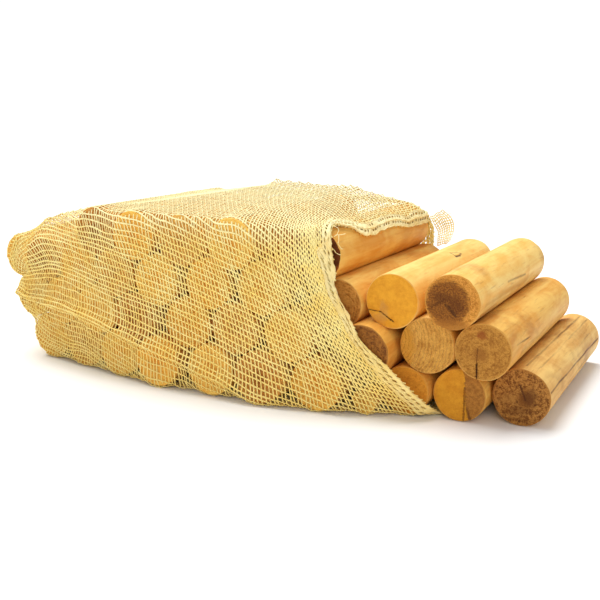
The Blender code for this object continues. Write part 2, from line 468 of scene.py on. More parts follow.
def side_wood(name, pale, deep, stain, dark_share=0.3, marks=()):
    """Peeled round wood seen from the side: long streaks of pale and deep wood, mottling and patches of
    stain, short dark pores along the grain, and cracks and knots at places of the model where told."""
    material, tree, shader = new_material(name)
    place = add(tree, "TexCoord").outputs["Object"]
    streaks = noise(stretched(place, (80, 6, 80)), 1.0, 6.0, 0.64, 0.5)
    mottle = noise(stretched(place, (38, 20, 38)), 1.0, 5.0, 0.66, 0.8)
    patches = noise(stretched(place, (17, 7, 17), (1.3, 0.4, 2.1)), 1.0, 4.0, 0.6, 0.9)
    pores = noise(stretched(place, (480, 34, 480)), 1.0, 2.0, 0.5)
    amount = plus(streaks.outputs[0], times(mottle.outputs[0], 0.8))
    base = mixed(ranged(amount, 0.68, 1.12), pale, deep)
    stained = ranged(patches.outputs[0], 0.50, 0.70, 0.0, dark_share)
    base = mixed(stained, base, stain)
    base = mixed(ranged(pores.outputs[0], 0.60, 0.74, 0.0, 0.28), base, stain)
    height = plus(streaks.outputs[0], pores.outputs[0])
    jitter = vector("SUBTRACT", patches.outputs["Color"], (0.5, 0.5, 0.5))
    near_place = vector("ADD", place, vector("MULTIPLY", jitter, (0.006, 0.006, 0.006)))
    broken = ranged(streaks.outputs[0], 0.38, 0.56, 0.35, 1.0)
    for start, end, width, strength in marks:
        there = near_line(near_place, start, end, width * 1.2, 0.15)
        there = times(there, times(broken, strength))
        base = mixed(there, base, colour(78, 38, 10))
        height = maths("SUBTRACT", height, times(there, 3.0))
    link(base, shader.inputs["Base Color"])
    rough = ranged(streaks.outputs[0], 0.3, 0.7, 0.50, 0.68)
    link(rough, shader.inputs["Roughness"])
    shader.inputs["Specular IOR Level"].default_value = 0.28
    bump = add(tree, "Bump", None, {"Height": height, "Strength": 0.5, "Distance": 0.0005})
    link(bump.outputs[0], shader.inputs["Normal"])
    return material


def near_line(place, start, end, width, soft=0.5):
    """1 on a straight line between two places of a face or of the model, and 0 away from it."""
    start = np.r_[start, np.zeros(3 - len(start))]
    run = np.r_[end, np.zeros(3 - len(end))] - start
    off = vector("SUBTRACT", place, tuple(start))
    part = vector("DOT_PRODUCT", off, tuple(run / (run @ run)))
    part = plus(part, 0.0, clamp=True)
    inputs = {0: tuple(run), "Scale": part}
    on_line = add(place.id_data, "VectorMath", {"operation": "SCALE"}, inputs).outputs[0]
    far = vector("LENGTH", vector("SUBTRACT", off, on_line))
    return ranged(far, width, width * soft)


def near_spot(place, centre, size, soft=0.4):
    """1 inside an oval of the face and 0 outside it, with a soft edge."""
    off = vector("SUBTRACT", place, (*centre, 0.0))
    off = vector("DIVIDE", off, (*size, 1.0))
    return ranged(vector("LENGTH", off), 1.0 + soft / 2, 1.0 - soft / 2)


def sawn_face(name, pale, deep, heart, heart_size=0.3, pith=(0.0, 0.0), rings=9.0, ring_depth=0.2,
              coarse=0.4, rim=None, rim_width=0.05, saw=0.0, wedge=None, marks=()):
    """Sawn end of a log: broad patches, growth rings that come and go, coarse torn fibre in dark and
    pale flecks, a heart with a torn edge, a thin rim, wavy upright growth lines where the cut shows
    them, a darker wedge, and cracks and stains where told."""
    material, tree, shader = new_material(name)
    face = add(tree, "UVMap", {"uv_map": "wood"}).outputs[0]
    seed = (sum(map(ord, name)) % 17) * 1.7
    spot = vector("ADD", face, (seed, seed * 0.6, 0.0))
    wobble = noise(spot, 2.0, 3.0, 0.6)
    moved = vector("SUBTRACT", wobble.outputs["Color"], (0.5, 0.5, 0.5))
    place = vector("ADD", face, vector("MULTIPLY", moved, (0.26, 0.26, 0.0)))
    far = vector("LENGTH", vector("SUBTRACT", place, (*pith, 0.0)))
    patch = noise(spot, 2.7, 4.0, 0.65).outputs[0]
    tufts = noise(spot, 7.5, 5.0, 0.78, 0.4)
    fibre = noise(spot, 17.0, 4.0, 0.75)
    grit = noise(spot, 40.0, 3.0, 0.7).outputs[0]
    wave = maths("SINE", times(far, rings * TURN))
    ring = ranged(wave, -0.4, 1.0, 0.0, ring_depth)
    ring = times(ring, ranged(patch, 0.35, 0.62))
    shade = plus(ring, ranged(patch, 0.30, 0.70, 0.0, 0.55))
    for grain, paler, darker in ((tufts, -coarse * 0.8, coarse), (fibre, -coarse * 0.5, coarse * 0.5)):
        shade = plus(shade, ranged(grain.outputs[0], 0.34, 0.66, paler, darker))
    base = mixed(plus(shade, 0.0, clamp=True), pale, deep)
    torn = times(maths("SUBTRACT", tufts.outputs[0], 0.5), 0.9)
    edge = plus(far, plus(torn, times(patch, 0.3)))
    inside = ranged(edge, heart_size + 0.23, heart_size + 0.10, 0.0, 0.9)
    flecked = mixed(ranged(fibre.outputs[0], 0.42, 0.62, 0.0, 0.7), heart, deep)
    base = mixed(inside, base, flecked)
    height = times(plus(tufts.outputs[0], fibre.outputs[0]), coarse * 2.5)
    if wedge:
        start, tone = wedge
        across = vector("DOT_PRODUCT", place, (1.0, 0.10, 0.0))
        across = plus(across, times(torn, 0.25))
        rough_part = ranged(across, start, start + 0.07)
        tone = mixed(ranged(tufts.outputs[0], 0.36, 0.64, 0.0, 0.55), tone, DARK_BROWN)
        base = mixed(times(rough_part, 0.92), base, tone)
        height = plus(height, times(rough_part, tufts.outputs[0]))
    if saw > 0:
        bands = add(
            tree,
            "TexWave",
            {"wave_type": "RINGS", "rings_direction": "Z", "wave_profile": "SIN"},
            {
                "Vector": vector("SUBTRACT", face, (-1.5, 0.1, 0.0)),
                "Scale": 2.4, "Distortion": 5.0, "Detail": 4.0, "Detail Scale": 1.6, "Detail Roughness": 0.65,
            },
        ).outputs[1]
        broken = ranged(fibre.outputs[0], 0.40, 0.60)
        cut = times(ranged(bands, 0.50, 0.85, 0.0, saw), broken)
        valley = times(ranged(bands, 0.50, 0.10, 0.0, saw), 0.42)
        base = mixed(valley, base, tuple(0.55 * c for c in deep[:3]) + (1.0,))
        base = mixed(cut, base, pale)
        height = plus(height, times(cut, 1.2))
    dark = tuple(0.32 * c for c in deep[:3]) + (1.0,)
    speck = ranged(grit, 0.54, 0.68, 0.0, min(1.0, coarse * 1.3))
    base = mixed(speck, base, dark)
    pit = ranged(tufts.outputs[0], 0.60, 0.72, 0.0, min(1.0, coarse))
    base = mixed(pit, base, dark)
    if rim:
        out = vector("LENGTH", face)
        out = plus(out, times(torn, rim_width * 1.6))
        base = mixed(ranged(out, 0.965 - rim_width, 0.985, 0.0, 0.85), base, rim)
    ragged = vector("SUBTRACT", fibre.outputs["Color"], (0.5, 0.5, 0.5))
    fine_place = vector("ADD", face, vector("MULTIPLY", ragged, (0.15, 0.15, 0.0)))
    for kind, first, second, size, tone, strength in marks:
        if kind == "crack":
            there = near_line(fine_place, first, second, size)
            height = maths("SUBTRACT", height, times(there, 4.0))
        else:
            smear = vector("MULTIPLY", moved, (0.5, 0.5, 0.0))
            blotted = vector("ADD", fine_place, smear)
            there = near_spot(blotted, first, second, size)
        base = mixed(times(there, strength), base, tone)
    link(base, shader.inputs["Base Color"])
    shader.inputs["Roughness"].default_value = 0.75
    shader.inputs["Specular IOR Level"].default_value = 0.2
    bump = add(tree, "Bump", None, {"Height": height, "Strength": 0.7, "Distance": 0.0007})
    link(bump.outputs[0], shader.inputs["Normal"])
    return material


# Painted light: the threads turn paler towards the top of the bag, where the light from above falls
PAINTED_TOP_LIGHT = colour(255, 248, 202)
PAINTED_TOP_LIGHT_FROM = (0.150, 0.198)  # heights, metres
# The threads turn deeper and more golden towards the floor, between these heights
DEEPER_NEAR_FLOOR = colour(250, 214, 112)
DEEPER_NEAR_FLOOR_FROM = (0.130, 0.020)


def thread_cloth(name, pale, deep, sheen):
    """Twisted thread: a pale and a deeper tone in slow patches and along its twist, with painted light
    that makes it paler towards the top of the bag, and deeper near the floor."""
    material, tree, shader = new_material(name)
    place = add(tree, "TexCoord").outputs["Object"]
    run = add(tree, "UVMap", {"uv_map": "thread"}).outputs[0]
    patches = noise(place, 42.0, 3.0, 0.6)
    twist = noise(stretched(run, (9.0, 3.0, 1.0)), 1.0, 2.0, 0.5)
    amount = plus(patches.outputs[0], times(twist.outputs[0], 0.6))
    base = mixed(ranged(amount, 0.55, 1.05), pale, deep)
    split = add(tree, "SeparateXYZ")
    link(place, split.inputs[0])
    height = split.outputs["Z"]
    # painted light: paler towards the top of the bag
    base = mixed(ranged(height, *PAINTED_TOP_LIGHT_FROM, 0.0, 0.75), base, PAINTED_TOP_LIGHT)
    # deeper and more golden towards the floor
    base = mixed(ranged(height, *DEEPER_NEAR_FLOOR_FROM, 0.0, 0.45), base, DEEPER_NEAR_FLOOR)
    link(base, shader.inputs["Base Color"])
    shader.inputs["Roughness"].default_value = 0.78
    shader.inputs["Specular IOR Level"].default_value = 0.2
    shader.inputs["Sheen Weight"].default_value = sheen
    shader.inputs["Sheen Roughness"].default_value = 0.4
    bump = add(tree, "Bump", None, {"Height": twist.outputs[0], "Strength": 0.5, "Distance": 0.0003})
    link(bump.outputs[0], shader.inputs["Normal"])
    return material


# Logs

def log_rows():
    """Rows of a log from the middle of its front face to the middle of its back face, as share of the
    radius, share of the length and depth behind the face."""
    face = np.linspace(0.0, 0.975, FACE_RINGS + 1)[1:]
    rim_turn = np.radians((30.0, 60.0, 90.0))
    rounding = 1.0 - 0.025 * (1.0 - np.sin(rim_turn))
    radius = np.r_[face, rounding]
    depth = np.r_[np.zeros(FACE_RINGS), RIM_ROUNDING * (1.0 - np.cos(rim_turn))]
    side = np.linspace(0.0, 1.0, SIDE_RINGS + 2)[1:-1]
    return radius, depth, side


def log_piece(node, seed, materials, round_points, rim_chips=0.0, grooves=()):
    """A round log along y as one closed skin: rings of the front face, the rounded rim, the side and
    the same rings behind. The radius is the box's, times one plus a sum of cosines round it; chips
    lower the rim by noise, and grooves sink along straight lines of the front face."""
    low, high = (np.array(corner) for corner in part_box(node))
    middle = (low + high) / 2
    size = (high[0] - low[0]) / 2 + (0.0 if "row1" in node or "stick" in node else SNUG)
    length = high[1] - low[1]
    radius, depth, side = log_rows()
    share = np.r_[radius, np.ones(len(side)), radius[::-1]]
    straight = low[1] + RIM_ROUNDING + side * (length - 2 * RIM_ROUNDING)
    y = np.r_[low[1] + depth, straight, high[1] - depth[::-1]]
    angle = np.arange(round_points) * 2 * np.pi / round_points
    share, y, angle = share[:, None], y[:, None], angle[None, :]
    t = (y - low[1]) / length
    shape = OUT_OF_ROUND * round_waves(seed, angle + 0 * y, 2, 7) * 1.4
    shape = shape + 0.006 * waves(seed + 1, np.cos(angle) * 2.2, np.sin(angle) * 2.2, t * 7.0, count=9)
    shape = shape - max(shape.max() - 0.010, 0.0)
    reach = size * share * (1.0 + shape)
    rng = np.random.default_rng(seed + 2)
    sway = BEND * np.sin(np.pi * t) * rng.choice((-1, 1))
    x = middle[0] + sway + reach * np.cos(angle)
    z = middle[2] + 0.5 * sway + reach * np.sin(angle)
    lean = rng.normal(size=2) * 0.010
    face_side = np.where(t < END_SHARE, 1.0, 0.0) - np.where(t > 1 - END_SHARE, 1.0, 0.0)
    uneven = np.abs(reach * (lean[0] * np.cos(angle) + lean[1] * np.sin(angle)))
    near_rim = step(share, 0.90, 1.0)
    chip = rim_chips * near_rim * np.clip(round_waves(seed + 3, angle * 1.0, 5, 40) * 1.6 + 0.2, 0, 1.5)
    y = y + face_side * (uneven + chip)
    local_x, local_z = reach * np.cos(angle) / size, reach * np.sin(angle) / size
    for start, end, width, sink in grooves:
        start, run = np.array(start), np.array(end) - np.array(start)
        part = np.clip(((local_x - start[0]) * run[0] + (local_z - start[1]) * run[1]) / (run @ run), 0, 1)
        off = np.hypot(local_x - start[0] - part * run[0], local_z - start[1] - part * run[1])
        y = y + np.where(t < END_SHARE, sink, 0.0) * (1.0 - step(off, 0.0, width))
    points = np.stack([x + 0 * y, y + 0 * x, z + 0 * y], -1)
    rows = points.shape[0]
    quads = grid_faces(rows, round_points)
    first, last = rows * round_points, rows * round_points + 1
    column = np.arange(round_points)
    beside = (column + 1) % round_points
    base = (rows - 1) * round_points
    caps = np.concatenate(
        [
            np.stack([beside, column, np.full(round_points, first)], -1),
            np.stack([base + column, base + beside, np.full(round_points, last)], -1),
        ]
    )
    centres = [[middle[0], face[:, 1].mean(), middle[2]] for face in (points[0], points[-1])]
    every = np.vstack([points.reshape(-1, 3), centres])
    if signed_volume(every, quads) < 0:
        quads, caps = quads[:, ::-1], caps[:, ::-1]
    maps = np.vstack([np.stack([local_x, local_z], -1).reshape(-1, 2), [[0.0, 0.0], [0.0, 0.0]]])
    front_rows = len(radius) - 2
    row_of = np.repeat(np.arange(rows - 1), round_points)
    slots = np.where(row_of < front_rows, 1, np.where(row_of >= rows - 1 - front_rows, 2, 0))
    slots = np.r_[slots, np.full(round_points, 1), np.full(round_points, 2)]
    piece = mesh_piece(node + "_wood", every, quads, caps, maps, slots, materials)
    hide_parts(node)
    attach(piece, "root")
    return piece


# Woods of the sides

PALE_SIDE = side_wood("side_pale", colour(247, 210, 124), colour(236, 178, 80), colour(196, 124, 46))
GOLDEN_SIDE = side_wood("side_golden", colour(244, 200, 106), colour(228, 162, 66), colour(178, 102, 32))
AMBER_SIDE = side_wood("side_amber", colour(240, 186, 88), colour(218, 144, 52), colour(156, 82, 22), 0.5)
KNOT_START = (0.1849, 0.0290, 0.1365)
KNOT_NEAR = (0.1920, 0.0274, 0.1330)
KNOT_LOWEST = (0.1930, 0.0370, 0.1324)
KNOT_END = (0.1914, 0.0462, 0.1334)
KNOT_UPPER = (0.1883, 0.0420, 0.1349)
KNOT_SIDE = side_wood(
    "side_knot", colour(250, 214, 128), colour(238, 184, 92), colour(196, 126, 50), 0.22,
    (
        (KNOT_START, KNOT_NEAR, 0.0016, 0.80),
        (KNOT_NEAR, KNOT_LOWEST, 0.0020, 0.95),
        (KNOT_LOWEST, KNOT_END, 0.0016, 0.80),
        (KNOT_START, KNOT_UPPER, 0.0011, 0.60),
        (KNOT_UPPER, KNOT_END, 0.0011, 0.60),
    ),
)
STAINED_SIDE = side_wood(
    "side_stained", colour(250, 212, 124), colour(238, 178, 80), colour(164, 88, 30), 0.40,
    grain_marks(
        "log_row3_01",
        ((9, -0.030), (2, 0.037), 0.0014, 0.50),
        ((-14, -0.105), (-17, 0.110), 0.0070, 0.28),
    ),
)
SPLIT_SIDE = side_wood(
    "side_split", colour(243, 196, 102), colour(226, 158, 64), colour(164, 90, 28), 0.42,
    grain_marks(
        "log_row2_01",
        ((14, -0.100), (5, -0.052), 0.0011, 0.8),
        ((-12, -0.080), (-15, 0.100), 0.0060, 0.28),
        ((84, 0.010), (79, 0.115), 0.0009, 0.5),
    ),
)
CRACKED_SIDE = side_wood(
    "side_cracked", colour(240, 198, 116), colour(214, 156, 78), colour(144, 84, 36), 0.42,
    grain_marks(
        "log_row1_01",
        ((88, -0.080), (78, 0.150), 0.0014, 0.60),
        ((64, -0.070), (60, 0.150), 0.0012, 0.50),
        ((16, -0.090), (7, 0.150), 0.0014, 0.80),
        ((32, -0.020), (34, 0.120), 0.0009, 0.45),
        ((-12, -0.010), (-10, 0.130), 0.0012, 0.50),
    ),
)

# Woods of the ends

RED_BROWN = colour(116, 52, 14)

FACE_GOLDEN = sawn_face("end_golden", colour(252, 208, 104), colour(238, 176, 72), colour(234, 168, 64))
FACE_ORANGE = sawn_face("end_orange", colour(250, 198, 90), colour(234, 164, 60), colour(224, 150, 50), 0.2)
FACE_BROWN = sawn_face(
    "end_brown", colour(222, 158, 74), colour(184, 118, 44), colour(160, 98, 34), 0.3, coarse=0.5
)
FACE_TAN = sawn_face(
    "end_tan", colour(238, 184, 94), colour(208, 146, 58), colour(190, 126, 46), 0.2, coarse=0.45
)
HIDDEN_FACES = (FACE_GOLDEN, FACE_ORANGE, FACE_GOLDEN, FACE_TAN, FACE_ORANGE, FACE_BROWN)
SIDES = (PALE_SIDE, GOLDEN_SIDE, AMBER_SIDE, GOLDEN_SIDE)

FACE_A = sawn_face(
    "end_a_ragged", colour(190, 100, 34), colour(140, 64, 18), RED_BROWN, 0.5, coarse=0.9,
    marks=(("spot", (0.80, 0.10), (0.24, 0.60), 0.6, DARK_BROWN, 0.85),),
)
FACE_B = sawn_face(
    "end_b_brown", colour(206, 142, 62), colour(158, 96, 30), colour(166, 104, 36), 0.2, (0.05, -0.10),
    rings=8.0, ring_depth=0.5, coarse=0.5, rim=colour(212, 156, 80), rim_width=0.03,
)

# Cracks that are also grooves: start and end as shares of the face's radius
UPPER_CRACK_C = ((-0.95, -0.38), (-0.42, -0.42))
LOWER_CRACK_C = ((-0.42, -0.42), (0.08, -0.74))
CRACK_E = ((-0.20, -0.42), (-0.18, -1.0))

FACE_C = sawn_face(
    "end_c_smooth", colour(232, 164, 46), colour(206, 132, 28), colour(212, 146, 62), 0.06, (-0.25, -0.25),
    rings=5.0, ring_depth=0.12, coarse=0.14, rim=colour(226, 178, 96), rim_width=0.025,
    marks=(
        ("spot", (-0.28, -0.30), (0.13, 0.30), 0.9, colour(188, 138, 76), 0.35),
        ("spot", (-0.42, -0.62), (0.30, 0.20), 0.9, colour(198, 148, 80), 0.45),
        ("crack", *UPPER_CRACK_C, 0.018, DARK_BROWN, 0.85),
        ("crack", *LOWER_CRACK_C, 0.024, DARK_BROWN, 0.95),
    ),
)
FACE_D = sawn_face(
    "end_d_dark_heart", colour(226, 158, 68), colour(182, 114, 38), colour(92, 42, 8), 0.76, (-0.16, -0.03),
    rings=9.0, ring_depth=0.35, coarse=0.70, rim=colour(214, 150, 64), rim_width=0.06,
    marks=(
        ("spot", (-0.05, -0.84), (0.66, 0.22), 0.7, colour(160, 100, 36), 0.7),
        ("spot", (-0.34, 0.14), (0.34, 0.20), 0.9, colour(70, 30, 6), 0.5),
        ("spot", (0.16, -0.10), (0.26, 0.34), 0.9, colour(74, 32, 6), 0.5),
        ("crack", (-0.22, -0.10), (0.14, -0.44), 0.050, colour(44, 18, 4), 0.5),
        ("crack", (-0.85, -0.30), (-0.30, 0.04), 0.040, colour(60, 26, 8), 0.3),
    ),
)
FACE_E = sawn_face(
    "end_e_tan", colour(196, 138, 58), colour(152, 96, 32), colour(160, 102, 38), 0.2, (-0.1, -0.1),
    rings=8.0, ring_depth=0.25, coarse=0.55, rim=colour(214, 160, 80), rim_width=0.03,
    marks=(
        ("crack", *CRACK_E, 0.030, colour(66, 30, 8), 0.95),
        ("crack", (-0.18, 0.10), (-0.20, -0.42), 0.022, colour(110, 62, 20), 0.6),
        ("spot", (-0.05, 0.62), (0.16, 0.13), 0.8, colour(140, 66, 20), 0.75),
    ),
)
FACE_F = sawn_face(
    "end_f_dark", colour(190, 130, 60), colour(122, 72, 24), colour(134, 82, 32), 0.22, (0.16, -0.05),
    rings=9.0, ring_depth=0.25, coarse=1.0, rim=colour(186, 128, 62), rim_width=0.03,
    marks=(
        ("spot", (-0.45, -0.10), (0.30, 0.16), 0.9, colour(172, 118, 56), 0.5),
        ("spot", (0.28, 0.05), (0.22, 0.34), 0.9, colour(92, 50, 16), 0.55),
        ("spot", (-0.10, -0.50), (0.36, 0.16), 0.9, colour(98, 54, 18), 0.45),
        ("crack", (-0.05, 0.42), (0.16, -0.08), 0.035, colour(60, 30, 10), 0.5),
    ),
)
FACE_G = sawn_face(
    "end_g_two_tone", colour(218, 152, 40), colour(192, 118, 22), colour(200, 128, 30), 0.1, (0.1, 0.1),
    rings=4.0, ring_depth=0.12, coarse=0.2, rim=colour(206, 152, 70), rim_width=0.025,
    wedge=(0.20, colour(178, 118, 50)),
    marks=(
        ("crack", (0.20, 0.30), (0.19, -0.92), 0.040, colour(96, 48, 14), 0.55),
        ("crack", (0.30, -0.50), (0.44, -0.86), 0.050, colour(100, 54, 18), 0.5),
    ),
)
FACE_H = sawn_face(
    "end_h_growth_lines", colour(238, 178, 84), colour(168, 102, 26), colour(184, 118, 38), 0.1, (-0.2, 0.0),
    rings=5.0, ring_depth=0.12, coarse=0.34, rim=colour(214, 158, 80), rim_width=0.03, saw=1.0,
    marks=(("spot", (-0.80, 0.0), (0.32, 0.9), 0.7, colour(206, 140, 42), 0.75),),
)
FACE_I = sawn_face(
    "end_i_patch", colour(164, 104, 40), colour(106, 58, 18), colour(112, 62, 20), 0.3, (-0.3, 0.2),
    rings=7.0, ring_depth=0.4, coarse=0.6, rim=colour(176, 120, 54), rim_width=0.03,
    marks=(
        ("crack", (-0.30, 0.62), (0.06, 0.05), 0.17, colour(86, 40, 12), 0.8),
        ("crack", (0.06, 0.05), (0.40, -0.42), 0.19, colour(78, 36, 10), 0.85),
    ),
)
FACE_J = sawn_face(
    "end_j_smooth", colour(222, 150, 46), colour(188, 112, 26), colour(196, 122, 34), 0.1, rings=4.0,
    ring_depth=0.12, coarse=0.38, rim=colour(206, 146, 62), rim_width=0.025,
)

# The logs at the mouth: face, side, how far the rim is chipped, and grooves of the face
SHOWN_LOGS = {
    "log_row4_01": (FACE_A, GOLDEN_SIDE, 0.0020, ()),
    "log_row3_03": (FACE_B, GOLDEN_SIDE, 0.0004, ()),
    "log_row3_02": (
        FACE_C, KNOT_SIDE, 0.0003,
        ((*UPPER_CRACK_C, 0.04, 0.0010), (*LOWER_CRACK_C, 0.04, 0.0014)),
    ),
    "log_row3_01": (FACE_D, STAINED_SIDE, 0.0012, ()),
    "log_row2_01": (FACE_E, SPLIT_SIDE, 0.0006, ((*CRACK_E, 0.05, 0.0018),)),
    "log_row1_01": (FACE_F, CRACKED_SIDE, 0.0006, ()),
    "log_row1_02": (FACE_G, GOLDEN_SIDE, 0.0003, ()),
    "log_row2_02": (FACE_H, PALE_SIDE, 0.0004, ()),
    "log_row2_03": (FACE_I, AMBER_SIDE, 0.0008, ()),
    "log_row1_03": (FACE_J, AMBER_SIDE, 0.0003, ()),
}


def all_logs():
    """One piece for every log of the model, the ones at the mouth with more points."""
    names = sorted(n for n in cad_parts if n.startswith("log_") or n == "thin_stick")
    for number, name in enumerate(names):
        back = HIDDEN_FACES[(number * 5 + 2) % len(HIDDEN_FACES)]
        if name in SHOWN_LOGS:
            face, side, chips, grooves = SHOWN_LOGS[name]
            log_piece(name, 40 + number, (side, face, back), LOG_ROUND_POINTS, chips, grooves)
        else:
            face = HIDDEN_FACES[(number * 7 + 1) % len(HIDDEN_FACES)]
            side = SIDES[number % len(SIDES)]
            log_piece(name, 40 + number, (side, face, back), LOG_HIDDEN_ROUND_POINTS, 0.0004)


# The net's surface

def bagged_logs():
    """Centres, half lengths and radii of the logs inside the bag."""
    outside = {f"log_row{r}_0{n}" for r in (1, 2, 3) for n in (1, 2)}
    inside = [n for n in sorted(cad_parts) if n.startswith(("log_", "thin")) and n not in outside]
    boxes = np.array([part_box(n) for n in inside])
    return (boxes[:, 0] + boxes[:, 1]) / 2, (boxes[:, 1] - boxes[:, 0]) / 2


LOG_MIDDLES, LOG_HALVES = bagged_logs()


def pushed_out(points, clearance):
    """Points moved straight out of every bagged log to at least a clearance: the distance to a capped
    cylinder is the larger of the distances to its side and its end, and the move is along the nearer."""
    moved = points.copy()
    for middle, half in zip(LOG_MIDDLES, LOG_HALVES):
        off = moved - middle
        across = np.hypot(off[..., 0], off[..., 2]) + 1e-9
        side = across - (half[0] * 1.005 + clearance)
        end = np.abs(off[..., 1]) - (half[1] + clearance)
        inside = (side < 0) & (end < 0)
        by_side = inside & (side >= end)
        by_end = inside & (side < end)
        out = -side * by_side / across
        moved[..., 0] += off[..., 0] * out
        moved[..., 2] += off[..., 2] * out
        moved[..., 1] += np.sign(off[..., 1]) * -end * by_end
    return moved


def held_up(points):
    """Points a little below one of the two loose folds lifted onto it, tents whose height falls evenly
    to both sides of their lines, and every point lifted off the floor."""
    moved = points.copy()
    x, y, z = moved[..., 0], moved[..., 1], moved[..., 2]
    folds = (
        (RAISED_FOLD_X, RAISED_FOLD_Y, RAISED_FOLD_Z, RAISED_FOLD_SLOPE, RAISED_FOLD_BACK_SLOPE, 0.03),
        (CORNER_FOLD_X, CORNER_FOLD_Y, CORNER_FOLD_Z, CORNER_FOLD_FRONT_SLOPE, CORNER_FOLD_SLOPE, 0.005),
    )
    for fold_x, fold_y, fold_z, front, behind, reach in folds:
        tent = np.interp(x, fold_x, fold_z, left=0.0, right=0.0)
        off = y - np.interp(x, fold_x, fold_y)
        tent = tent - np.where(off < 0, front, behind) * np.abs(off)
        z = np.where((z > LOWEST_LIFTED) & (z > tent - reach), np.maximum(z, tent), z)
    moved[..., 2] = np.maximum(z, FLOOR_CLEARANCE)
    return moved


def outer_planes():
    """Flat sides of the tightest convex wrap round the bagged logs, from the model's bag: those of its
    triangles that have every point of those logs behind them, one of each direction."""
    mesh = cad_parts["net_bag"].data
    mesh.calc_loop_triangles()
    places = np.empty(len(mesh.vertices) * 3, np.float32)
    mesh.vertices.foreach_get("co", places)
    corners = np.empty(len(mesh.loop_triangles) * 3, np.int32)
    mesh.loop_triangles.foreach_get("vertices", corners)
    a, b, c = places.reshape(-1, 3)[corners.reshape(-1, 3)].swapaxes(0, 1).astype(float)
    normal = np.cross(b - a, c - a)
    area = np.linalg.norm(normal, axis=-1)
    keep = area > 1e-9
    normal = normal[keep] / area[keep, None]
    offset = (normal * a[keep]).sum(-1)
    turn = np.arange(12) * np.pi / 6
    ring = np.stack([np.cos(turn), 0 * turn, np.sin(turn)], -1)
    rims = LOG_MIDDLES[:, None] + ring * LOG_HALVES[:, None, :1]
    ends = np.array((0.0, 1.0, 0.0)) * LOG_HALVES[:, None, 1:2]
    rims = np.concatenate([rims + ends, rims - ends]).reshape(-1, 3)
    outside = (rims @ normal.T - offset).max(0) < 0.0004
    normal, offset = normal[outside], offset[outside]
    _, first = np.unique(np.round(normal, 2), axis=0, return_index=True)
    return normal[first], offset[first]


PLANE_NORMALS, PLANE_OFFSETS = outer_planes()


def kept_shallow(points):
    """Points lifted where they hang deeper behind the convex wrap than the net's slack lets them, a
    few millimetres over most of the bag and more close to the seam."""
    rows = points.shape[0]
    u = np.linspace(0, 1, rows)[:, None]
    deepest = DEEPEST_HOLLOW + DEEPER_AT_SEAM * step(u, 0.86, 1.0)
    deepest = deepest + DEEPER_AT_MOUTH * (1 - step(u, 0.0, 0.08))
    flat = points.reshape(-1, 3)
    behind = flat @ PLANE_NORMALS.T - PLANE_OFFSETS
    nearest = behind.argmax(1)
    behind = behind[np.arange(len(flat)), nearest].reshape(points.shape[:2])
    lift = np.clip(-deepest - behind, 0.0, None)
    return points + PLANE_NORMALS[nearest].reshape(points.shape) * lift[..., None]


def mouth_line(fractions):
    """The edge of the mouth, a closed line through its points, at fractions of its length."""
    points = np.array(MOUTH_FRONT + MOUTH_TOP + MOUTH_BACK + MOUTH_FLOOR)
    fine = along(points, np.arange(720) / 720, closed=True)
    for _ in range(14):
        fine = fine * 0.5 + 0.25 * (np.roll(fine, 1, 0) + np.roll(fine, -1, 0))
    return along(fine, fractions, closed=True)


def section(distance, top, bottom, depth):
    """A rectangle in y and z at distances round it, from its lower front corner up the front."""
    height = top - bottom
    whole = 2 * (height + 2 * depth)
    run = np.mod(distance, whole)
    up = np.clip(run, 0, height)
    over = np.clip(run - height, 0, 2 * depth)
    down = np.clip(run - height - 2 * depth, 0, height)
    back = np.clip(run - 2 * height - 2 * depth, 0, 2 * depth)
    return -depth + over - back, bottom + up - down


def first_surface(rows, columns):
    """The bag before it settles: from the mouth's edge to the closed seam, each row a rectangle round
    the pile, turned so that the fold's line starts every row."""
    u = np.linspace(0, 1, rows)[:, None]
    v = (np.arange(columns) / columns)[None, :]
    mean_x = MOUTH_MEAN_X + (OPEN_END_X - MOUTH_MEAN_X) * u
    top, bottom, depth = (np.interp(mean_x, *table) for table in (FIRST_TOP, FIRST_BOTTOM, FIRST_DEPTH))
    whole = 2 * (top - bottom + 2 * depth)
    start = np.interp(mean_x, FOLD_X, FOLD_HEIGHT) - bottom
    y, z = section(start + v * whole, top, bottom, depth)
    mouth = mouth_line(v[0] - MOUTH_START)
    x = mouth[None, :, 0] * (1 - u) + OPEN_END_X * u
    points = np.stack([x + 0 * y, y, z], -1)
    points[0] = mouth
    back_and_forth = 1 - np.abs(2 * v[0] - 1)
    points[-1, :, 0] = OPEN_END_X
    points[-1, :, 1] = SEAM_FRONT + (SEAM_BACK - SEAM_FRONT) * back_and_forth
    points[-1, :, 2] = SEAM_HEIGHT
    return points


def tightened(points, near_seam):
    """The inner rows of the bag's points, drawn tight once. In the surface each point moves towards the
    middle of its four neighbours, or near the seam evens its spacing along the bag and round it one by
    one, which keeps it there. Off the surface the lines along the bag pull harder than those round it."""
    inner = points[1:-1]
    bend_down = (points[2:] + points[:-2]) / 2 - inner
    bend_round = ((np.roll(points, 1, 1) + np.roll(points, -1, 1)) / 2)[1:-1] - inner
    down = unit(points[2:] - points[:-2], 1e-9)
    across = unit((np.roll(points, -1, 1) - np.roll(points, 1, 1))[1:-1], 1e-9)
    normal = unit(np.cross(across, down), 1e-9)
    even = bend_down + bend_round
    even = even - part_along(even, normal)
    own = part_along(bend_down, down)
    side = bend_down - own
    side = side - part_along(side, normal)
    own = own + part_along(bend_round, across) * (1 - STRAIGHTEN)
    own = own + side * STRAIGHTEN
    even = even + (own - even) * near_seam
    tight = part_along(TIGHT_ALONG * bend_down + TIGHT_ROUND * bend_round, normal)
    return inner + SETTLING_STEP * (even + tight)


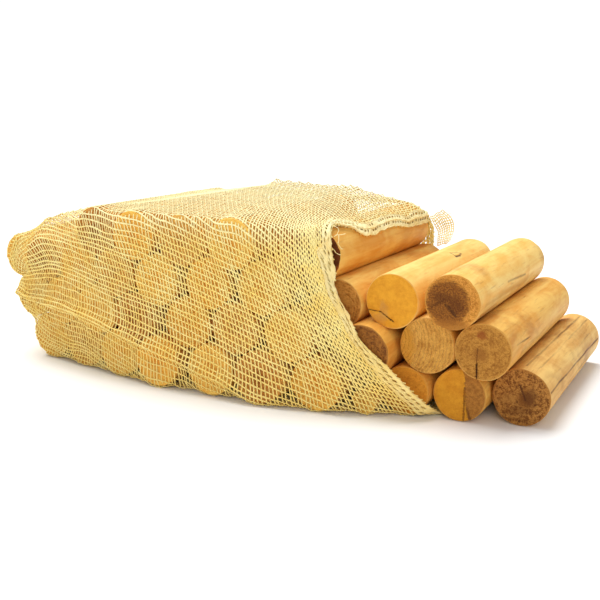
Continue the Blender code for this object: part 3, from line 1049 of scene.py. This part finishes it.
def settle(points, rounds, clearance, weight=0.00006, pull=0.00005, woven=True):
    """The bag settled in rounds: each draws it tight, pulls it a little inwards and down, and brings it
    out of the logs again. The mouth's edge stays, and the seam is slid to its place."""
    u = np.linspace(0, 1, points.shape[0])[1:-1, None, None]
    near_seam = step(u, *LOOSE_NEAR_SEAM) if woven else np.ones_like(u)
    for turn in range(rounds):
        points[-1, :, 0] = np.minimum(points[-1, :, 0] + 0.0002, SEAM_X)
        inner = tightened(points, near_seam)
        inward = np.array(PILE_MIDDLE) - inner
        inward[..., 0] *= 0.3
        inner = inner + pull * inward / np.linalg.norm(inward, axis=-1, keepdims=True)
        inner[..., 2] -= weight
        points[1:-1] = inner
        if turn % 4 == 0 or turn > rounds - 4:
            points[1:-1] = kept_shallow(points)[1:-1]
        points[1:-1] = held_up(pushed_out(points[1:-1], clearance))
    return points


def surface_normals(points):
    """Unit normals of a grid closed across, turned away from the middle of the pile."""
    down = np.gradient(points, axis=0)
    across = (np.roll(points, -1, 1) - np.roll(points, 1, 1)) / 2
    normal = unit(np.cross(across, down))
    outward = ((points - np.array(PILE_MIDDLE)) * normal).sum()
    return normal * np.sign(outward), down, across


def folded(points):
    """Folds on the settled bag: a ridge along the fold's line with a hollow under it, creases that fan
    from the corner of the closed end, and slow unevenness, each along the normal; and warps drawn
    together along the creases, by their distance from it times a bell curve of that distance."""
    normal, _, across = surface_normals(points)
    rows, columns = points.shape[:2]
    u = np.linspace(0, 1, rows)[:, None]
    v = (np.arange(columns) / columns)[None, :]
    signed = np.mod(v + 0.5, 1.0) - 0.5
    seen = step(u, 0.22, 0.40) * (1 - step(u, 0.93, 1.0))
    ridge = bell(signed, *RIDGE) + bell(signed, *HOLLOW)
    fan = FAN_HEIGHT * np.sin(signed * 2 * np.pi * 23 + 3 * u) * bell(signed, *FAN)
    fan = fan * step(u, 0.45, 0.95) * (1 - step(u, 0.97, 1.0))
    slow = UNEVENNESS * waves_round(5, v * TURN, 9, u * 26, count=11)
    height = ridge * seen + fan + slow * step(u, 0.0, 0.1) * (1 - step(u, 0.95, 1.0))
    drawn = np.zeros((rows, columns))
    for place, start, end, strength in CREASES:
        off = np.mod(v - place - 0.05 * (u - 0.5) * place + 0.5, 1.0) - 0.5
        there = step(u, start, start + 0.12) * (1 - step(u, end - 0.08, end))
        drawn -= strength * there * off * columns * bell(off, 0.0, CREASE_REACH)
    moved = points + across * drawn[..., None] + normal * height[..., None]
    return held_up(pushed_out(moved, NET_CLEARANCE))


def spaced(points):
    """The rows of a grid moved to places, the same for every column, that make their mean spacing even."""
    rows = len(points)
    gaps = np.linalg.norm(np.diff(points, axis=0), axis=-1).mean(axis=1)
    run = np.concatenate([[0.0], np.cumsum(gaps)])
    place = np.interp(np.linspace(0, 1, rows), run / run[-1], np.arange(rows))
    low = np.minimum(place.astype(int), rows - 2)
    share = (place - low)[:, None, None]
    return points[low] * (1 - share) + points[low + 1] * share


def evened_at_mouth(points, rows):
    """The first rows of a grid slid along each column until they are evenly far apart."""
    gaps = np.linalg.norm(np.diff(points[:rows + 1], axis=0), axis=-1)
    run = np.vstack([np.zeros((1, points.shape[1])), np.cumsum(gaps, axis=0)])
    even = np.linspace(0, 1, rows + 1)
    place = np.stack([np.interp(even, r / r[-1], np.arange(rows + 1)) for r in run.T], axis=1)
    low = np.minimum(place.astype(int), rows - 1)
    share = (place - low)[..., None]
    column = np.arange(points.shape[1])[None, :]
    moved = points.copy()
    moved[:rows + 1] = points[low, column] * (1 - share) + points[low + 1, column] * share
    return moved


def net_surface():
    """The settled surface that every thread lies on: a row for each weft, a column for each warp."""
    points = settle(first_surface(29, 60), 400, NET_CLEARANCE + 0.0010, woven=False)
    points = resized(points, 57, 120)
    points[0] = mouth_line(np.arange(120) / 120 - MOUTH_START)
    points = settle(points, 300, NET_CLEARANCE + 0.0006, 0.00002, 0.00002)
    points = resized(points, WEFT_THREADS, WARP_THREADS)
    v = np.arange(WARP_THREADS) / WARP_THREADS
    points[0] = mouth_line(v - MOUTH_START)
    points = spaced(settle(points, 150, NET_CLEARANCE + 0.0002, 0.00001, 0.00001))
    points = folded(evened_at_mouth(points, WEFT_THREADS * 2 // 5))
    return settle(points, 6, NET_CLEARANCE, 0.0, 0.0)


# Threads

def weft_threads(surface, normal, down):
    """Threads round the bag, one on each row of the surface, wandering a little along the bag and
    rising and falling by half their thickness from one warp to the next."""
    rows, columns = surface.shape[:2]
    i = np.arange(rows)[:, None]
    j = np.arange(columns)[None, :]
    angle = j * 2 * np.pi / columns
    wander = THREAD_WANDER * waves_round(11, angle, 21, i * 1.7, count=9)
    wander = np.where(i < 3, 0.0, wander)
    over = np.cos(np.pi * (j + i)) * THREAD_THICKNESS * 0.35
    lines = surface + down * wander[..., None] + normal * over[..., None]
    sideways = np.cross(normal, unit(np.roll(lines, -1, 1) - np.roll(lines, 1, 1)))
    width = WEFT_WIDTH / 2 * (1 + 0.22 * waves_round(12, angle, 30, i * 2.3))
    return lines, sideways, width


def warp_threads(surface, normal, across):
    """Threads along the bag, one on every column, from the mouth's edge to the seam, passing the wefts
    on the other side from each neighbour."""
    rows, columns = surface.shape[:2]
    i = np.arange(rows)[:, None]
    j = np.arange(columns)[None, :]
    angle = j * 2 * np.pi / columns
    wander = THREAD_WANDER * waves_round(13, angle, 40, i * 0.35, count=9)
    over = -np.cos(np.pi * (j + i)) * THREAD_THICKNESS * 0.35
    lines = surface + across * wander[..., None] + normal * over[..., None]
    lines, out = lines.swapaxes(0, 1), normal.swapaxes(0, 1)
    sideways = np.cross(out, unit(np.gradient(lines, axis=1)))
    width = WARP_WIDTH / 2 * (1 + 0.2 * waves(14, i * 0.9, j * 1.9)).swapaxes(0, 1)
    return lines, sideways, out, width


def net_pieces(surface, material):
    """The net as four pieces of whole threads: two of wefts and two of warps."""
    normal, down, across = surface_normals(surface)
    lines, sideways, width = weft_threads(surface, normal, down)
    wefts = lines[1:-1], sideways[1:-1], normal[1:-1], width[1:-1]
    warps = warp_threads(surface, normal, across)
    made = []
    for names, threads, half, closed in (
        (("net_wefts_mouth", "net_wefts_end"), wefts, WEFT_THREADS // 2, True),
        (("net_warps_upper", "net_warps_lower"), warps, WARP_THREADS // 2, False),
    ):
        for name, part in zip(names, (slice(0, half), slice(half, None))):
            found = tubes(*(array[part] for array in threads), THREAD_THICKNESS / 2, closed)
            made.append(join_tubes(name, [found], material))
    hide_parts("net_bag")
    return made


# Sewn edges

def hem_grid(surface):
    """The band's grid on the surface's first rows, its arrows outwards and those away from the edge.
    Each column reaches the band's width, and further where it leaves the edge at a slant."""
    deep = HEM_SOURCE_ROWS
    first = resized(surface[:deep], deep, HEM_STEPS)
    out = resized(surface_normals(surface)[0][:deep], deep, HEM_STEPS)
    inward = unit(first[5] - first[0])
    edge = unit(np.roll(first[0], -3, 0) - np.roll(first[0], 3, 0))
    slant = np.linalg.norm(np.cross(edge, inward), axis=-1)
    slant = np.convolve(np.r_[slant[-20:], slant, slant[:20]], np.ones(41) / 41, "valid")
    angle = np.arange(HEM_STEPS)[None, :] / HEM_STEPS * 2 * np.pi
    width = HEM_WIDTH * (1 + 0.12 * waves_round(21, angle, 14))
    away = np.linspace(0, 1, HEM_ROWS)[:, None] * width / np.clip(slant, 0.45, 1.0)
    run = np.linalg.norm(np.diff(first, axis=0), axis=-1).cumsum(0)
    run = np.vstack([np.zeros((1, HEM_STEPS)), run])
    low = np.clip((run[None, 1:] < away[:, None]).sum(1), 0, deep - 2)
    pick = np.broadcast_to(np.arange(HEM_STEPS), low.shape)
    part = np.clip((away - run[low, pick]) / (run[low + 1, pick] - run[low, pick]), 0, 1)[..., None]
    points, outs = (grid[low, pick] * (1 - part) + grid[low + 1, pick] * part for grid in (first, out))
    return points, outs, inward


def hem_faces():
    """Faces of the band, without those of two rows of small slits between its stitches."""
    row = np.repeat(np.arange(HEM_ROWS - 1), HEM_STEPS)
    column = np.tile(np.arange(HEM_STEPS), HEM_ROWS - 1)
    pair = np.where(row < HEM_ROWS // 2, 0, 1)
    slit = np.isin(row, HEM_SLIT_ROWS) & ((column + 3 * pair) % 6 < 4)
    random = np.random.default_rng(8).uniform(size=HEM_STEPS // 3)
    slit &= random[(pair * HEM_STEPS + column) // 6] > 0.12
    return grid_faces(HEM_ROWS, HEM_STEPS)[~slit]


def hem_band(surface, material):
    """The doubled band along the mouth: its grid set outwards and rippled, its edge scalloped, and
    thickened by Solidify."""
    points, outs, inward = hem_grid(surface)
    fine_v = np.arange(HEM_STEPS) / HEM_STEPS
    share = np.linspace(0, 1, HEM_ROWS)[:, None]
    angle = fine_v[None, :] * 2 * np.pi
    crown = 0.0010 + 0.0009 * np.sin(np.pi * share)
    ripple = 0.0005 * waves_round(22, angle, 60, share * 3)
    points = points + outs * (crown + ripple)[..., None]
    scallop = 0.0011 * waves_round(23, angle[0], 40)
    points -= (inward * scallop[:, None])[None] * (1 - share)[..., None]
    points[..., 2] = np.maximum(points[..., 2], HEM_LOWEST)
    maps = np.stack(np.broadcast_arrays(fine_v * 94.0, share), -1).reshape(-1, 2)
    piece = mesh_piece("mouth_hem_band", points.reshape(-1, 3), hem_faces(), None, maps, None, (material,))
    solid = piece.modifiers.new("thickness", "SOLIDIFY")
    solid.thickness = HEM_THICKNESS
    solid.offset = 1.0
    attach(piece, "root")
    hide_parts("mouth_hem")
    return piece, points, outs


def hem_cords(points, outs, material):
    """Cords on the band, which run round the mouth at shares of its width with a slow wobble."""
    rows, steps = points.shape[:2]
    closed = np.concatenate([points, points[:, :1]], axis=1)
    closed_out = np.concatenate([outs, outs[:, :1]], axis=1)

    def on_band(place, share):
        low_u = np.clip((share * (rows - 1)).astype(int), 0, rows - 2)
        low_v = np.clip((place * steps).astype(int), 0, steps - 1)
        u = (share * (rows - 1) - low_u)[..., None]
        v = (place * steps - low_v)[..., None]
        found = []
        for grid in (closed, closed_out):
            near = grid[low_u, low_v] * (1 - v) + grid[low_u, low_v + 1] * v
            far = grid[low_u + 1, low_v] * (1 - v) + grid[low_u + 1, low_v + 1] * v
            found.append(near * (1 - u) + far * u)
        return found

    made = []
    place = np.arange(steps) / steps
    for seed, share in enumerate(HEM_CORDS):
        wobble = 0.035 * waves_round(60 + seed, place * TURN, 70)
        line, out = on_band(place, np.clip(share + wobble, 0, 1))
        line = line + out * (HEM_THICKNESS + 0.0002)
        line[:, 2] = np.maximum(line[:, 2], HEM_LOWEST)
        sideways = np.cross(out, unit(np.roll(line, -1, 0) - np.roll(line, 1, 0)))
        width = np.full((1, len(line)), HEM_CORD_WIDTH / 2)
        made.append(tubes(line[None], sideways[None], out[None], width, 0.0005, True))
    return join_tubes("mouth_hem_stitching", made, material)


def join_tubes(name, made, material):
    """One piece from several runs of tubes."""
    counts = np.r_[0, np.cumsum([len(part[0]) for part in made])[:-1]]
    points = np.concatenate([part[0] for part in made])
    quads = np.concatenate([part[1] + first for part, first in zip(made, counts)])
    maps = np.concatenate([part[2] for part in made])
    piece = mesh_piece(name, points, quads, None, maps, None, (material,))
    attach(piece, "root")
    return piece


def crossed_threads(grid, material, name):
    """A small patch of net from a grid of points: a thread along each row and each column."""
    across = np.gradient(grid, axis=1)
    down = np.gradient(grid, axis=0)
    normal = unit(np.cross(across, down))
    made = []
    for lines, outs in ((grid, normal), (grid.swapaxes(0, 1), normal.swapaxes(0, 1))):
        ahead = unit(np.gradient(lines, axis=1))
        width = np.full(lines.shape[:2], 0.00055)
        made.append(tubes(lines, np.cross(outs, ahead), outs, width, 0.00035, False))
    return join_tubes(name, made, material)


def net_tail(material):
    """The end of the net that curls out behind the top log: a patch between four corners, bent
    backwards and forwards by a sine down it, with uneven threads."""
    top_left, top_right, low_right, low_left = (np.array(corner) for corner in TAIL_CORNERS)
    u = np.linspace(0, 1, TAIL_WEFTS)[:, None, None]
    v = np.linspace(0, 1, TAIL_WARPS)[None, :, None]
    upper = top_left * (1 - v) + top_right * v
    lower = low_left * (1 - v) + low_right * v
    grid = upper * (1 - u) + lower * u
    flat_u, flat_v = u[..., 0], v[..., 0]
    grid[..., 1] += 0.009 * np.sin(flat_u * 4.4) * (0.4 + flat_v)
    grid[..., 0] += 0.004 * np.sin(flat_u * 3.1) + 0.0012 * waves(71, flat_u * 9, flat_v * 7)
    grid[..., 2] += 0.0014 * waves(72, flat_u * 8, flat_v * 9)
    return crossed_threads(grid, material, "net_tail")


def frayed_threads(material):
    """Fine threads that have come loose at the mouth: each runs from one place to another with a curl
    that swings out and back as sines of its length."""
    made = []
    t = np.linspace(0, 1, 40)[:, None]
    rng = np.random.default_rng(31)
    for start, end in LOOSE_THREADS:
        start, end = np.array(start), np.array(end)
        line = start * (1 - t) + end * t
        swing = rng.normal(size=(2, 3)) * 0.0026
        line = line + swing[0] * np.sin(t * np.pi * 2) + swing[1] * np.sin(t * np.pi * 3.5) * t
        ahead = unit(np.gradient(line, axis=0))
        sideways = unit(np.cross(ahead, (0.3, 0.9, 0.2)))
        out = np.cross(ahead, sideways)
        width = np.full((1, len(line)), FINE_THREAD)
        made.append(tubes(line[None], sideways[None], out[None], width, FINE_THREAD, False))
    return join_tubes("frayed_threads", made, material)


# The studio

def floor():
    """A plain white floor under the bag and a little way round it, as a flat grid."""
    side = np.linspace(-6.0, 6.0, 3)
    x, y = np.meshgrid(side, side)
    points = np.stack([x, y, 0 * x], -1).reshape(-1, 3)
    material, _, shader = new_material("floor_white")
    shader.inputs["Base Color"].default_value = (0.92, 0.92, 0.915, 1.0)
    shader.inputs["Roughness"].default_value = 0.9
    shader.inputs["Specular IOR Level"].default_value = 0.0
    made = mesh_piece("floor", points, grid_faces(3, 3, False), None, None, None, (material,))


def lamp(name, place, target, size, power):
    """A soft square lamp that faces a target."""
    light = bpy.data.lights.new(name, "AREA")
    light.size = size
    light.energy = power
    made = bpy.data.objects.new(name, light)
    made.location = place
    toward = np.array(target) - np.array(place)
    toward = toward / np.linalg.norm(toward)
    down = np.arccos(-toward[2])
    made.rotation_euler = (down, 0.0, np.arctan2(toward[1], toward[0]) - np.pi / 2)
    bpy.context.scene.collection.objects.link(made)


def studio():
    """White surroundings that look brighter behind the bag than they light it, a big soft light above
    and to the left, and a weak one in front."""
    world = bpy.data.worlds.new("white_room")
    world.use_nodes = True
    nodes, links = world.node_tree.nodes, world.node_tree.links
    room, behind = nodes["Background"], nodes.new("ShaderNodeBackground")
    for background, strength in ((room, ROOM_LIGHT), (behind, ROOM_SEEN)):
        background.inputs["Color"].default_value = (1.0, 1.0, 1.0, 1.0)
        background.inputs["Strength"].default_value = strength
    both = nodes.new("ShaderNodeMixShader")
    seen = nodes.new("ShaderNodeLightPath")
    links.new(seen.outputs["Is Camera Ray"], both.inputs[0])
    links.new(room.outputs[0], both.inputs[1])
    links.new(behind.outputs[0], both.inputs[2])
    links.new(both.outputs[0], nodes["World Output"].inputs["Surface"])
    scene = bpy.context.scene
    scene.world = world
    scene.view_settings.view_transform = "Standard"
    sky = bpy.data.lights.new("high_window", "SUN")
    sky.energy = 3.3
    sky.angle = np.radians(50)
    high = bpy.data.objects.new("high_window", sky)
    high.rotation_euler = (np.radians(-8), np.radians(-20), 0.0)
    scene.collection.objects.link(high)
    lamp("front", (0.9, -1.6, 0.9), (0.0, 0.0, 0.1), 1.0, 8.0)


def view():
    """The camera of the photograph."""
    lens = bpy.data.cameras.new("view")
    lens.lens = LENS_MM
    lens.sensor_width = SENSOR_MM
    camera = bpy.data.objects.new("view", lens)
    camera.location = CAMERA_PLACE
    camera.rotation_euler = (np.radians(90 - CAMERA_DOWN), 0.0, np.radians(CAMERA_LEFT))
    bpy.context.scene.collection.objects.link(camera)
    bpy.context.scene.camera = camera


studio()
view()
floor()
all_logs()
NET_THREAD = thread_cloth("net_thread", colour(255, 240, 164), colour(251, 218, 118), 0.1)
HEM_CLOTH = thread_cloth("hem_cloth", colour(250, 234, 174), colour(238, 208, 128), 0.15)
SURFACE = net_surface()
WEFTS_MOUTH, WEFTS_END, *WARPS = net_pieces(SURFACE, NET_THREAD)
HEM, HEM_POINTS, HEM_OUTS = hem_band(SURFACE, HEM_CLOTH)
STITCHING = hem_cords(HEM_POINTS, HEM_OUTS, HEM_CLOTH)
TAIL = net_tail(NET_THREAD)
FRAYED = frayed_threads(HEM_CLOTH)
